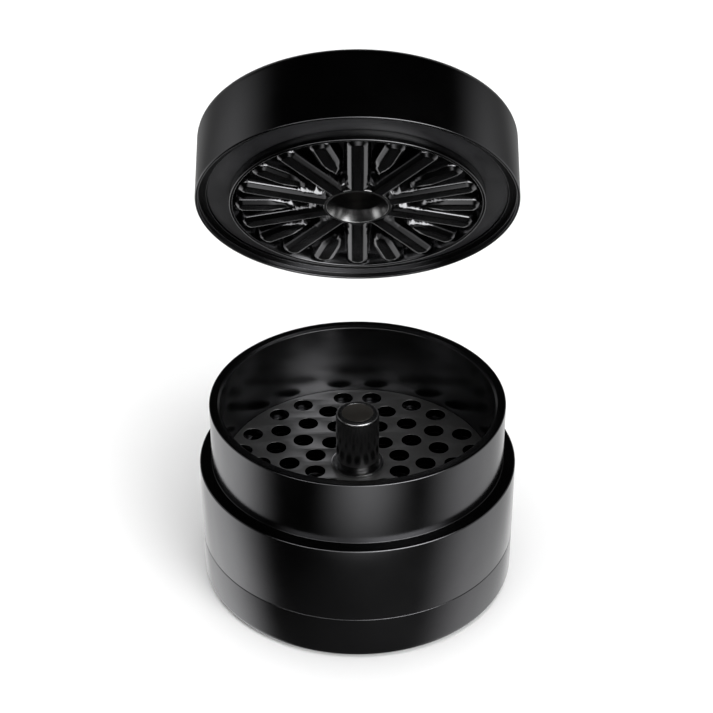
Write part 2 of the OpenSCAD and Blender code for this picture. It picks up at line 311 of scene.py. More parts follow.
def add_bump(nodes, links, shader, height, strength, distance):
    """Adds a bump to the shader's normal."""
    bump = nodes.new("ShaderNodeBump")
    bump.inputs["Strength"].default_value = strength
    bump.inputs["Distance"].default_value = distance
    links.new(height, bump.inputs["Height"])
    links.new(bump.outputs["Normal"], shader.inputs["Normal"])


def turning_rings(nodes, links, source, ring_pitch):
    """Very fine concentric tool marks around the body's axis, from a cylinder's radius and height."""
    parts = nodes.new("ShaderNodeSeparateXYZ")
    links.new(source, parts.inputs["Vector"])
    square = nodes.new("ShaderNodeVectorMath")
    square.operation = "MULTIPLY"
    square.inputs[1].default_value = (1, 1, 0)
    links.new(source, square.inputs[0])
    length = nodes.new("ShaderNodeVectorMath")
    length.operation = "LENGTH"
    links.new(square.outputs["Vector"], length.inputs[0])
    total = nodes.new("ShaderNodeMath")
    total.operation = "ADD"
    links.new(length.outputs["Value"], total.inputs[0])
    links.new(parts.outputs["Z"], total.inputs[1])
    noise = nodes.new("ShaderNodeTexNoise")
    noise.noise_dimensions = "1D"
    noise.inputs["Scale"].default_value = 1.0
    noise.inputs["Detail"].default_value = 2.0
    scaled = nodes.new("ShaderNodeMath")
    scaled.operation = "MULTIPLY"
    scaled.inputs[1].default_value = 1.0 / ring_pitch
    links.new(total.outputs["Value"], scaled.inputs[0])
    links.new(scaled.outputs["Value"], noise.inputs["W"])
    return noise.outputs["Fac"]


def metal(name, base, rough, rough_spread, ring_pitch, ring_bump, speckle=0.07, metallic=1.0):
    """A turned or polished metal: tone variation, uneven gloss and fine tool rings."""
    finish, nodes, links, shader, place = new_finish(name)
    source = place.outputs["Object"]
    shader.inputs["Metallic"].default_value = metallic
    cloud = add_noise(nodes, links, source, 90.0, 3.0)
    grain = add_noise(nodes, links, source, 2600.0, 3.0)
    dark = tuple(channel * (1 - speckle) for channel in base)
    light = tuple(min(1.0, channel * (1 + speckle)) for channel in base)
    links.new(mix_colour(nodes, links, ramp_value(nodes, links, cloud, 0.3, 0.7, 0, 1), dark, light),
              shader.inputs["Base Color"])
    blend = nodes.new("ShaderNodeMath")
    blend.operation = "ADD"
    links.new(ramp_value(nodes, links, cloud, 0.3, 0.7, rough - rough_spread, rough + rough_spread),
              blend.inputs[0])
    links.new(ramp_value(nodes, links, grain, 0.35, 0.65, -rough_spread / 2, rough_spread / 2),
              blend.inputs[1])
    links.new(blend.outputs["Value"], shader.inputs["Roughness"])
    rings = turning_rings(nodes, links, source, ring_pitch)
    add_bump(nodes, links, shader, rings, ring_bump, RING_BUMP_DEPTH)
    return finish


def soft_black(name, base, rough, grain_scale, bump):
    """A moulded polymer or rubber: matt, with a fine pebble and slight bloom."""
    finish, nodes, links, shader, place = new_finish(name)
    source = place.outputs["Object"]
    cloud = add_noise(nodes, links, source, 140.0, 4.0)
    grain = add_noise(nodes, links, source, grain_scale, 2.0)
    bloom = tuple(channel * 1.7 + 0.002 for channel in base)
    links.new(mix_colour(nodes, links, ramp_value(nodes, links, cloud, 0.3, 0.75, 0, 1), base, bloom),
              shader.inputs["Base Color"])
    links.new(ramp_value(nodes, links, cloud, 0.3, 0.7, rough - 0.05, rough + 0.08),
              shader.inputs["Roughness"])
    add_bump(nodes, links, shader, grain, bump, RING_BUMP_DEPTH)
    return finish


FINISHES = {}


def make_finishes(colours):
    """Every finish of the grinder, by the name of the record's material slot."""
    FINISHES["black_anodised"] = metal("black_anodised", colours.anodise, 0.2, 0.02, 0.09 * MM, 0.05)
    FINISHES["plate_anodised"] = metal("plate_anodised", colours.plate, 0.34, 0.03, 0.12 * MM, 0.1,
                                       metallic=0.91)
    FINISHES["rotor_anodised"] = metal("rotor_anodised", colours.rotor, 0.17, 0.02, 0.15 * MM, 0.03)
    FINISHES["post_black_chrome"] = metal("post_black_chrome", colours.post, 0.24, 0.02, 0.1 * MM, 0.06)
    FINISHES["bright_steel"] = metal("bright_steel", colours.steel, 0.2, 0.03, 0.12 * MM, 0.2)
    # The bush's darker steel is painted shade that dims its mouth in the hub
    FINISHES["bush_steel"] = metal("bush_steel", colours.bush, 0.2, 0.03, 0.15 * MM, 0.1)
    FINISHES["spring_steel"] = metal("spring_steel", colours.steel, 0.25, 0.04, 0.2 * MM, 0.1)
    FINISHES["magnet_nickel"] = metal("magnet_nickel", colours.magnet, 0.42, 0.05, 0.14 * MM, 0.12, 0.12)
    FINISHES["glide_polymer"] = soft_black("glide_polymer", colours.polymer, 0.34, 3200.0, 0.12)
    FINISHES["seal_rubber"] = soft_black("seal_rubber", colours.rubber, 0.6, 2400.0, 0.3)


# ---------------------------------------------------------------- meshes


def fillet(corners, arc_steps=5):
    """Turns (radius, height, rounding) corners into a profile with round corners."""
    profile = []
    count = len(corners)
    for i, (r, z, rounding) in enumerate(corners):
        here = Vector((r, z))
        if rounding <= 0 or i in (0, count - 1):
            profile.append((r, z))
            continue
        before = Vector(corners[i - 1][:2]) - here
        after = Vector(corners[i + 1][:2]) - here
        angle = before.angle(after)
        reach = min(rounding / math.tan(angle / 2), before.length * 0.49, after.length * 0.49)
        start = here + before.normalized() * reach
        end = here + after.normalized() * reach
        true_radius = reach * math.tan(angle / 2)
        middle = here + (before.normalized() + after.normalized()).normalized() \
            * true_radius / math.sin(angle / 2)
        a0 = math.atan2(*(start - middle).yx)
        a1 = math.atan2(*(end - middle).yx)
        turn = (a1 - a0 + math.pi) % TAU - math.pi
        for step in range(arc_steps + 1):
            a = a0 + turn * step / arc_steps
            profile.append((middle.x + true_radius * math.cos(a), middle.y + true_radius * math.sin(a)))
    return profile


def closed_fillet(corners, arc_steps=5):
    """The same for an outline that closes on itself."""
    looped = [corners[-1], *corners, corners[0]]
    profile = fillet(looped, arc_steps)
    return profile[1:-1]


def lathe(name, profile, segments=192):
    """Turns a closed profile about Z."""
    mesh = bpy.data.meshes.new(name)
    build = bmesh.new()
    rings = []
    for r, z in profile:
        if r < 1e-7:
            rings.append([build.verts.new((0, 0, z))])
        else:
            rings.append([build.verts.new((r * math.cos(TAU * k / segments),
                                           r * math.sin(TAU * k / segments), z))
                          for k in range(segments)])
    for one, two in zip(rings, rings[1:] + rings[:1]):
        for k in range(segments):
            n = (k + 1) % segments
            if len(one) == 1 and len(two) == 1:
                break
            if len(one) == 1:
                build.faces.new((one[0], two[n], two[k]))
            elif len(two) == 1:
                build.faces.new((one[k], one[n], two[0]))
            else:
                build.faces.new((one[k], one[n], two[n], two[k]))
    bmesh.ops.recalc_face_normals(build, faces=build.faces)
    build.to_mesh(mesh)
    build.free()
    piece = bpy.data.objects.new(name, mesh)
    bpy.context.scene.collection.objects.link(piece)
    return smooth(piece)


def smooth(piece, angle=35.0):
    """Smooth shading with real edges kept."""
    mesh = piece.data
    for face in mesh.polygons:
        face.use_smooth = True
    mesh.set_sharp_from_angle(angle=math.radians(angle))
    return piece


def join(target, *others):
    """Puts other pieces' meshes into the first piece."""
    build = bmesh.new()
    build.from_mesh(target.data)
    for other in others:
        build.from_mesh(other.data)
    build.to_mesh(target.data)
    build.free()
    for other in others:
        bpy.data.objects.remove(other)
    return smooth(target)


def thread_ridge(name, wall, crest, z0, turns, wall_w, crest_w, pitch, steps=96, lead=16):
    """A helical ridge on a wall, growing at its start and dying away at its end."""
    build = bmesh.new()
    count = round(turns * steps)
    back = wall - math.copysign(THREAD_SINK, crest - wall)
    sections = []
    for i in range(count + 1):
        a = THREAD_TURN_IN + TAU * i / steps
        z = z0 + pitch * a / TAU
        grow = min(1.0, (i + 4) / lead, (count - i + 4) / lead)
        tip = wall + (crest - wall) * grow
        sections.append([build.verts.new((r * math.cos(a), r * math.sin(a), z + h / 2))
                         for r, h in ((back, -wall_w), (tip, -crest_w), (tip, crest_w), (back, wall_w))])
    for one, two in zip(sections, sections[1:]):
        for k in range(4):
            n = (k + 1) % 4
            build.faces.new((one[k], one[n], two[n], two[k]))
    build.faces.new(sections[0])
    build.faces.new(sections[-1])
    bmesh.ops.recalc_face_normals(build, faces=build.faces)
    mesh = bpy.data.meshes.new(name)
    build.to_mesh(mesh)
    build.free()
    piece = bpy.data.objects.new(name, mesh)
    bpy.context.scene.collection.objects.link(piece)
    return piece


def place_on_lid(piece):
    """Moves a piece made upright around the mouth's centre into the tipped lid."""
    hinge = JOINTS["lid_turn"]
    up = Vector(hinge["axis"])
    tilt = math.atan2(-up.y, up.z)
    piece.data.transform(Matrix.Translation(Vector(hinge["pos_m"])) @ Matrix.Rotation(tilt, 4, "X"))
    return piece


def finish_piece(piece, body, slot, *nodes):
    """Gives a piece its finish and its body, and hides the CAD nodes that it stands for."""
    piece.data.materials.clear()
    piece.data.materials.append(FINISHES[slot])
    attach(piece, body)
    if nodes:
        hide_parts(*nodes)


# ---------------------------------------------------------------- operators


class GRINDER_OT_finishes(bpy.types.Operator):
    """Make the finishes, and put them on the CAD pieces that stay"""

    bl_idname = "grinder.finishes"
    bl_label = "Finishes"

    def execute(self, context):
        make_finishes(context.scene.grinder_colours)
        slots = {part["node"]: part["material_slot"] for part in frame["record"]["subparts"]}
        for name, node in frame["nodes"].items():
            node.data.materials.clear()
            node.data.materials.append(FINISHES[slots[name]])
        return {"FINISHED"}


class GRINDER_OT_catch_cup(bpy.types.Operator):
    """Turn the catch cup, with its threaded spigot"""

    bl_idname = "grinder.catch_cup"
    bl_label = "Catch cup"

    def execute(self, context):
        size = context.scene.grinder_body
        top = SEAM + size.spigot_h
        profile = closed_fillet([
            (BODY_R, 0, size.foot_round), (BODY_R, SEAM, 0.15 * MM), (size.spigot_r, SEAM, 0.1 * MM),
            (size.spigot_r, top, 0.3 * MM), (size.cup_bore_r, top, 0.3 * MM),
            (size.cup_bore_r, size.floor_t, size.scoop_r), (CUP_FLOOR_RING, size.floor_t, 0),
            (NEAR_AXIS, size.floor_t, 0), (NEAR_AXIS, 0, 0), (CUP_FOOT_RING, 0, 0)], 8)
        cup = lathe("catch_cup_shell", profile)
        ridge = thread_ridge("cup_thread", size.spigot_r, size.thread_crest, SEAM + THREAD_START,
                             THREAD_TURNS, MALE_FOOT, RIDGE_CREST, size.pitch)
        finish_piece(join(cup, ridge), "cup", "black_anodised", "catch_cup")
        return {"FINISHED"}


class GRINDER_OT_grinding_chamber(bpy.types.Operator):
    """Turn the grinding chamber, with its neck, ledge and thread"""

    bl_idname = "grinder.grinding_chamber"
    bl_label = "Grinding chamber"

    def execute(self, context):
        size = context.scene.grinder_body
        base = low("grinding_chamber")
        flange = RIM - size.neck_h
        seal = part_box("thread_seal")
        seal_in = size.chamber_root + SEAL_PLAY
        seal_out = seal[1][0] + SEAL_PLAY
        seal_top = seal[1][2] + SEAL_PLAY
        ledge_under = PLATE_BOTTOM - LEDGE_T
        thread_top = SEAM + size.spigot_h + THREAD_RELIEF
        profile = closed_fillet([
            (BODY_R, base, 0.15 * MM), (BODY_R, flange, 0.4 * MM), (size.neck_r, flange, 0.12 * MM),
            (size.neck_r, RIM, 0.3 * MM), (size.bore_r + RIM_BEVEL, RIM, 0.12 * MM),
            (size.bore_r, RIM - RIM_BEVEL, 0.12 * MM), (size.bore_r, PLATE_BOTTOM, 0.1 * MM),
            (size.ledge_r, PLATE_BOTTOM, 0.15 * MM), (size.ledge_r, ledge_under, 0.15 * MM),
            (size.lower_bore_r, ledge_under, 0.3 * MM),
            (size.lower_bore_r, thread_top + THREAD_CONE, 0.2 * MM),
            (size.chamber_root, thread_top, 0.2 * MM), (size.chamber_root, base, 0.04 * MM),
            (seal_in, base, 0), (seal_in, seal_top, 0), (seal_out, seal_top, 0),
            (seal_out, base, 0.05 * MM)], 6)
        chamber = lathe("chamber_shell", profile)
        ridge = thread_ridge("chamber_thread", size.chamber_root, size.chamber_crest,
                             SEAM + THREAD_START + size.pitch / 2, THREAD_TURNS,
                             FEMALE_FOOT, RIDGE_CREST, size.pitch)
        finish_piece(join(chamber, ridge), "chamber", "black_anodised", "grinding_chamber")
        return {"FINISHED"}


class GRINDER_OT_milling_plate(bpy.types.Operator):
    """Cut the milling plate with its rings of holes"""

    bl_idname = "grinder.milling_plate"
    bl_label = "Milling plate"

    def execute(self, context):
        size = context.scene.grinder_plate
        curve = bpy.data.curves.new("milling_plate_outline", "CURVE")
        curve.dimensions = "2D"
        curve.fill_mode = "BOTH"
        thickness = PLATE_TOP - PLATE_BOTTOM
        curve.extrude = thickness / 2 - size.burr
        curve.bevel_depth = size.burr
        curve.bevel_resolution = 2
        curve.offset = -size.burr

        def add_circle(x, y, r, steps):
            spline = curve.splines.new("POLY")
            spline.points.add(steps - 1)
            for k, point in enumerate(spline.points):
                a = TAU * k / steps
                point.co = (x + r * math.cos(a), y + r * math.sin(a), 0, 1)
            spline.use_cyclic_u = True

        add_circle(0, 0, half_width("milling_plate"), 192)
        post = context.scene.grinder_post
        add_circle(0, 0, post.waist_r - PLATE_GRIP, 48)
        half = math.pi / size.count
        for k in range(size.count):
            turn = math.pi / 2 + TAU * k / size.count
            for r, shift in ((size.ring_1, 0), (size.ring_2, half), (size.ring_3, 0),
                             (size.ring_4, half), (size.pair_r, -size.pair_angle),
                             (size.pair_r, size.pair_angle)):
                add_circle(r * math.cos(turn + shift), r * math.sin(turn + shift), size.hole_r, 40)
        shape = bpy.data.objects.new("milling_plate_shape", curve)
        context.scene.collection.objects.link(shape)
        mesh = bpy.data.meshes.new_from_object(shape.evaluated_get(context.evaluated_depsgraph_get()))
        bpy.data.objects.remove(shape)
        build = bmesh.new()
        build.from_mesh(mesh)
        bmesh.ops.remove_doubles(build, verts=build.verts, dist=0.001 * MM)
        bmesh.ops.recalc_face_normals(build, faces=build.faces)
        build.to_mesh(mesh)
        build.free()
        mesh.transform(Matrix.Translation((0, 0, (PLATE_TOP + PLATE_BOTTOM) / 2)))
        plate = bpy.data.objects.new("milling_plate_cut", mesh)
        context.scene.collection.objects.link(plate)
        finish_piece(smooth(plate), "chamber", "plate_anodised", "milling_plate")
        # Faces past the lean, the holes' walls and the plate's edge, take the darker shell finish: painted shade
        # inside the holes
        mesh.materials.append(FINISHES["black_anodised"])
        for face in mesh.polygons:
            if abs(face.normal.z) < PAINTED_SHADE_WALL_LEAN:
                face.material_index = 1
        return {"FINISHED"}


class GRINDER_OT_centre_post(bpy.types.Operator):
    """Turn the centre post, its collar and its magnet"""

    bl_idname = "grinder.centre_post"
    bl_label = "Centre post"

    def execute(self, context):
        size = context.scene.grinder_post
        waist_top = PLATE_TOP + size.waist_h
        pocket = POST_TOP - MAGNET_POCKET
        post = lathe("post_shaft", closed_fillet([
            (NEAR_AXIS, PLATE_BOTTOM + 0.2 * MM, 0), (POST_SPIGOT_R, PLATE_BOTTOM + 0.2 * MM, 0.1 * MM),
            (POST_SPIGOT_R, PLATE_TOP, 0), (size.waist_r, PLATE_TOP, 0),
            (size.waist_r, waist_top, 0.25 * MM), (size.shaft_r, waist_top, 0.25 * MM),
            (size.shaft_r, POST_TOP, size.bevel), (size.magnet_r, POST_TOP, 0.05 * MM),
            (size.magnet_r, pocket, 0), (NEAR_AXIS, pocket, 0)], 6), 128)
        finish_piece(post, "chamber", "post_black_chrome", "centre_post")
        collar_top = PLATE_TOP + size.collar_t
        collar_r = half_width("post_collar")
        inner = size.waist_r + COLLAR_PLAY
        collar = lathe("post_foot_collar", closed_fillet([
            (inner, PLATE_TOP, 0), (collar_r, PLATE_TOP, 0), (collar_r, collar_top, 0.25 * MM),
            (collar_r - COLLAR_RIM, collar_top, 0.15 * MM),
            (collar_r - COLLAR_DISH, collar_top - COLLAR_STEP, 0),
            (inner, collar_top - COLLAR_STEP, 0.05 * MM)], 5), 128)
        finish_piece(collar, "chamber", "bright_steel", "post_collar")
        magnet = lathe("post_magnet_disc", closed_fillet([
            (NEAR_AXIS, low("post_magnet"), 0), (size.magnet_r - MAGNET_PLAY, low("post_magnet"), 0),
            (size.magnet_r - MAGNET_PLAY, POST_TOP - MAGNET_SINK, 0.15 * MM),
            (NEAR_AXIS, POST_TOP - MAGNET_SINK, 0)], 4), 96)
        finish_piece(magnet, "chamber", "magnet_nickel", "post_magnet")
        return {"FINISHED"}


class GRINDER_OT_lid_cover(bpy.types.Operator):
    """Turn the lid's shell and its glide ring"""

    bl_idname = "grinder.lid_cover"
    bl_label = "Lid cover"

    def execute(self, context):
        size = context.scene.grinder_lid
        lip_r = BODY_R - size.lip_t
        bore = context.scene.grinder_rotor.bore_r
        shell = lathe("lid_cover", closed_fillet([
            (BODY_R, 0, 0.25 * MM), (BODY_R, size.height, size.crown), (LID_TOP_RING, size.height, 0),
            (NEAR_AXIS, size.height, 0), (NEAR_AXIS, size.height - LID_TOP_T, 0),
            (bore, size.height - LID_TOP_T, 0), (bore, size.boss_face, 0),
            (size.boss_r, size.boss_face, 0.2 * MM), (size.boss_r, size.groove_depth, 0.2 * MM),
            (size.skirt_r, size.groove_depth, 0.3 * MM), (size.skirt_r, size.lip_depth, 0.12 * MM),
            (lip_r, size.lip_depth, 0.12 * MM), (lip_r, 0, 0.22 * MM)], 8))
        finish_piece(place_on_lid(shell), "lid", "black_anodised", "lid_shell")
        back = size.glide_depth + size.glide_t
        ring = lathe("glide_ring_moulding", closed_fillet([
            (size.glide_in, size.glide_depth, 0.12 * MM), (size.glide_in, back, 0.1 * MM),
            (size.glide_out, back, 0.1 * MM), (size.glide_out, size.glide_depth, 0.15 * MM)], 5))
        finish_piece(place_on_lid(ring), "glide", "glide_polymer", "glide_ring")
        return {"FINISHED"}


class GRINDER_OT_wave_spring(bpy.types.Operator):
    """Make a wave spring piece of its own from the CAD spring's mesh, on the seat"""

    bl_idname = "grinder.wave_spring"
    bl_label = "Wave spring"

    def execute(self, context):
        spring = bpy.data.objects.new("flat_wave_spring", bpy.data.objects["ring_spring"].data.copy())
        context.scene.collection.objects.link(spring)
        finish_piece(spring, "seat", "spring_steel", "ring_spring")
        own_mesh(spring)
        return {"FINISHED"}


class GRINDER_OT_rotor(bpy.types.Operator):
    """Carve the rotor's long and short ribs, and turn its rim and bush"""

    bl_idname = "grinder.rotor"
    bl_label = "Rotor"

    def execute(self, context):
        size = context.scene.grinder_rotor
        lid = context.scene.grinder_lid
        face = -size.stand_out
        inner = size.bore_r + 0.02 * MM
        half = size.rib_top / 2
        half_sector = math.pi / size.sectors
        corner = 0.8 * MM
        hub_drop = 0.4 * MM
        shoulder_slope = size.shoulder_drop / size.shoulder
        side_slope = (size.rib_h - size.shoulder_drop) / size.side_w

        def ease(value, width):
            """A ramp with its corner rounded over a width."""
            if value >= width:
                return value
            return (value + width) ** 2 / (4 * width) if value > -width else 0.0

        def fall(gap):
            """Depth at a distance outside a rib's flat top."""
            edge = ease(gap - size.shoulder, 0.12 * MM)
            foot = ease(gap - size.shoulder - size.side_w, 0.12 * MM)
            return shoulder_slope * (ease(gap, 0.1 * MM) - edge) + side_slope * (edge - foot)

        def rib(along, across):
            """Depth around one rib whose flat top has round corners."""
            side = across - half + corner
            tip = along - size.rib_end + corner
            return fall(math.hypot(max(side, 0), max(tip, 0)) + min(max(side, tip), 0) - corner)

        def depth(r, turn):
            """Depth below the crests, by the angle from the nearest long rib."""
            rest = half_sector - turn
            long_rib = rib(r * math.cos(turn), r * math.sin(turn))
            along = r * math.cos(rest)
            narrow = size.short_taper * ease(size.short_full - along, 1.5 * MM)
            short_rib = rib(along, abs(r * math.sin(rest)) + narrow)
            hub = hub_drop + fall(r - size.hub_r)
            return min(long_rib, short_rib, hub)

        gaps = (-0.1, 0, 0.1, 0.35, 0.7, 0.88, 1.0, 1.12, 1.25, 1.4, 1.55)
        marks = [0.0, half * 0.5] + [half + gap * MM for gap in gaps]

        def turns(r):
            """Angles from a long rib to the next short one, along the ribs' edges."""
            reach = [min(math.asin(min(mark / r, 1.0)), half_sector / 2) for mark in marks]
            return reach + [half_sector / 2] + [half_sector - turn for turn in reversed(reach)]

        def radii(start, end, step):
            """Even radii from start up to end."""
            count = max(1, round((end - start) / step))
            return [start + (end - start) * i / count for i in range(count)]

        wall = size.radius - size.rim_wall
        foot = size.radius - size.rim_foot
        spans = ((inner, size.hub_r - 0.1 * MM, 0.2), (size.hub_r - 0.1 * MM, size.hub_r + 1.5 * MM, 0.1),
                 (size.hub_r + 1.5 * MM, size.rib_end - 0.9 * MM, 0.3),
                 (size.rib_end - 0.9 * MM, foot, 0.09))
        rows = []
        mesh = bpy.data.meshes.new("rotor_face")
        build = bmesh.new()

        def ring(r, height):
            """One ring of points, whose height may follow the ribs."""
            points = []
            near = turns(min(r, wall))
            for k in range(2 * size.sectors):
                steps = near[:-1] if k % 2 == 0 else [half_sector - turn for turn in reversed(near)][:-1]
                for turn in steps:
                    from_long = turn if k % 2 == 0 else half_sector - turn
                    a = math.pi / 2 + k * half_sector + turn
                    z = face + depth(r, from_long) if height is None else height
                    points.append(build.verts.new((r * math.cos(a), r * math.sin(a), z)))
            rows.append(points)

        for start, end, step in spans:
            for r in radii(start, end, step * MM):
                ring(r, None)
        back_z = lid.boss_face - 0.02 * MM
        step_z = lid.glide_depth - 0.1 * MM
        edge = 0.2 * MM
        deep = face + size.rib_h
        for r, z in ((foot, deep), (wall, face + edge), (wall + edge * 0.3, face + edge * 0.3),
                     (wall + edge, face), (size.radius - edge, face),
                     (size.radius - edge * 0.3, face + edge * 0.3), (size.radius, face + edge),
                     (size.radius, step_z), (lid.boss_r, step_z), (lid.boss_r, back_z), (inner, back_z)):
            ring(r, z)
        rows.append(rows[0])
        around = len(rows[0])
        for one, two in zip(rows, rows[1:]):
            for k in range(around):
                n = (k + 1) % around
                build.faces.new((one[k], one[n], two[n], two[k]))
        bmesh.ops.remove_doubles(build, verts=build.verts, dist=0.002 * MM)
        bmesh.ops.recalc_face_normals(build, faces=build.faces)
        build.to_mesh(mesh)
        build.free()
        rotor = bpy.data.objects.new("rotor_face", mesh)
        context.scene.collection.objects.link(rotor)
        finish_piece(place_on_lid(smooth(rotor, 50)), "lid", "rotor_anodised", "rotor")
        bush = lathe("hub_bush_sleeve", closed_fillet([
            (size.bore_r, face + 0.1 * MM, 0.15 * MM), (size.bore_r, size.bush_end, 0.1 * MM),
            (size.bush_bore, size.bush_end, 0.1 * MM), (size.bush_bore, size.bush_mouth_depth, 0.8 * MM),
            (size.mouth_r, face + 0.1 * MM, 0.12 * MM)], 6), 128)
        finish_piece(place_on_lid(bush), "lid", "bush_steel", "hub_bush")
        return {"FINISHED"}


class GRINDER_OT_stage(bpy.types.Operator):
    """Set up the pale floor, the soft studio light and the camera"""

    bl_idname = "grinder.stage"
    bl_label = "Stage"

    def execute(self, context):
        scene = context.scene
        scene.view_settings.view_transform = "Standard"
        make_floor(scene)
        make_studio(scene)
        make_front_card(scene)
        make_camera(scene)
        return {"FINISHED"}


def make_floor(scene):
    """A wide pale floor that catches a soft shadow and stays out of the gloss."""
    build = bmesh.new()
    bmesh.ops.create_circle(build, cap_ends=True, segments=96, radius=FLOOR_R)
    mesh = bpy.data.meshes.new("studio_floor")
    build.to_mesh(mesh)
    build.free()
    floor = bpy.data.objects.new("studio_floor", mesh)
    scene.collection.objects.link(floor)
    finish, nodes, links, shader, place = new_finish("pale_floor")
    tone = tuple(scene.grinder_colours.floor)
    paler = tuple(min(1.0, channel * 1.03) for channel in tone)
    cloud = add_noise(nodes, links, place.outputs["Object"], 3.0)
    links.new(mix_colour(nodes, links, cloud, tone, paler), shader.inputs["Base Color"])
    shader.inputs["Roughness"].default_value = 0.9
    shader.inputs["Specular IOR Level"].default_value = 0.1
    out = nodes.new("ShaderNodeVectorMath")
    out.operation = "LENGTH"
    links.new(place.outputs["Object"], out.inputs[0])
    far = nodes.new("ShaderNodeMapRange")
    far.interpolation_type = "SMOOTHSTEP"
    far.inputs["From Min"].default_value = FLOOR_GLOW_START
    far.inputs["From Max"].default_value = FLOOR_GLOW_FULL
    far.inputs["To Max"].default_value = BACKDROP
    links.new(out.outputs["Value"], far.inputs["Value"])
    links.new(far.outputs["Result"], shader.inputs["Emission Strength"])
    shader.inputs["Emission Color"].default_value = (1, 1, 1, 1)
    mesh.materials.append(finish)
    floor.visible_glossy = False


def make_studio(scene):
    """Soft-edged patches of light around the grinder, and two soft lights above it."""
    world = bpy.data.worlds.new("soft_studio")
    scene.world = world
    world.use_nodes = True
    nodes = world.node_tree.nodes
    links = world.node_tree.links
    background = nodes["Background"]
    background.inputs["Color"].default_value = (1, 1, 1, 1)
    place = nodes.new("ShaderNodeTexCoord")
    parts = nodes.new("ShaderNodeSeparateXYZ")
    links.new(place.outputs["Generated"], parts.inputs["Vector"])

    def maths(operation, first, second=None):
        node = nodes.new("ShaderNodeMath")
        node.operation = operation
        for slot, value in enumerate((first, second)):
            if value is None:
                continue
            if isinstance(value, (int, float)):
                node.inputs[slot].default_value = value
            else:
                links.new(value, node.inputs[slot])
        return node.outputs["Value"]

    def s_curve(value, start, end):
        node = nodes.new("ShaderNodeMapRange")
        node.interpolation_type = "SMOOTHSTEP"
        node.inputs["From Min"].default_value = start
        node.inputs["From Max"].default_value = end
        links.new(value, node.inputs["Value"])
        return node.outputs["Result"]

    degree = math.radians(1)
    right = parts.outputs["X"]
    rise = parts.outputs["Z"]
    azimuth = maths("ARCTAN2", right, maths("MULTIPLY", parts.outputs["Y"], -1.0))

    def window(value, start, full, fade, end):
        """1 between full and fade, 0 outside start and end."""
        return maths("MULTIPLY", s_curve(value, start, full),
                     maths("SUBTRACT", 1.0, s_curve(value, fade, end)))

    def patch(level, turn, climb):
        """A soft-edged patch of light, by its azimuths in degrees and its heights."""
        wide = window(azimuth, *(edge * degree for edge in turn))
        return maths("MULTIPLY", maths("MULTIPLY", wide, window(rise, *climb)), level)

    behind = maths("SUBTRACT", 180 * degree, maths("ABSOLUTE", azimuth))
    back = maths("SUBTRACT", 1.0, s_curve(behind, 25 * degree, 62 * degree))
    back_low = maths("MULTIPLY", back, window(rise, -0.995, -0.94, -0.52, -0.38))
    low_climb = (-0.97, -0.8, -0.48, -0.3)
    patches = (
        (0.9, (-150, -126, -108, -60), low_climb),
        (0.45, (44, 94, 126, 150), low_climb),
        (0.5, (-140, -112, -104, -60), (-0.97, -0.8, 0.15, 0.68)),
        (0.45, (44, 94, 112, 140), (-0.97, -0.8, 0.05, 0.55)),
        (4.2, (-8, 20, 46, 74), (0.05, 0.2, 0.55, 0.72)),
        (3.0, (-62, -40, 40, 62), (0.1, 0.18, 0.36, 0.46)),
    )
    glow = patch(*patches[0])
    for row in patches[1:]:
        glow = maths("ADD", glow, patch(*row))
    glow = maths("ADD", glow, back_low)
    back_level = maths("MULTIPLY", back, window(rise, -0.6, -0.4, 0.2, 0.4))
    glow = maths("ADD", glow, maths("MULTIPLY", back_level, 0.25))
    level = maths("ADD", glow, FAINT_LIGHT)
    path = nodes.new("ShaderNodeLightPath")
    seen = nodes.new("ShaderNodeMix")
    seen.data_type = "FLOAT"
    links.new(path.outputs["Is Camera Ray"], seen.inputs["Factor"])
    links.new(level, seen.inputs["A"])
    seen.inputs["B"].default_value = BACKDROP
    links.new(seen.outputs["Result"], background.inputs["Strength"])

    def panel(name, place_at, target, size, power):
        light = bpy.data.lights.new(name, "AREA")
        light.shape = "RECTANGLE"
        light.size, light.size_y = size
        light.energy = power
        lamp = bpy.data.objects.new(name, light)
        lamp.location = place_at
        lamp.rotation_euler = (Vector(target) - Vector(place_at)).to_track_quat("-Z", "Y").to_euler()
        scene.collection.objects.link(lamp)
        return lamp

    overhead = panel("overhead_softbox", place_at=(0, 0.1, 0.9), target=(0, 0, 0),
                     size=(1.2, 1.2), power=11.5)
    overhead.visible_glossy = False
    key = panel("key_softbox", place_at=(0.42, -0.6, 0.75), target=(0, 0, 0.03),
                size=(0.35, 0.35), power=2.2)
    key.visible_glossy = False


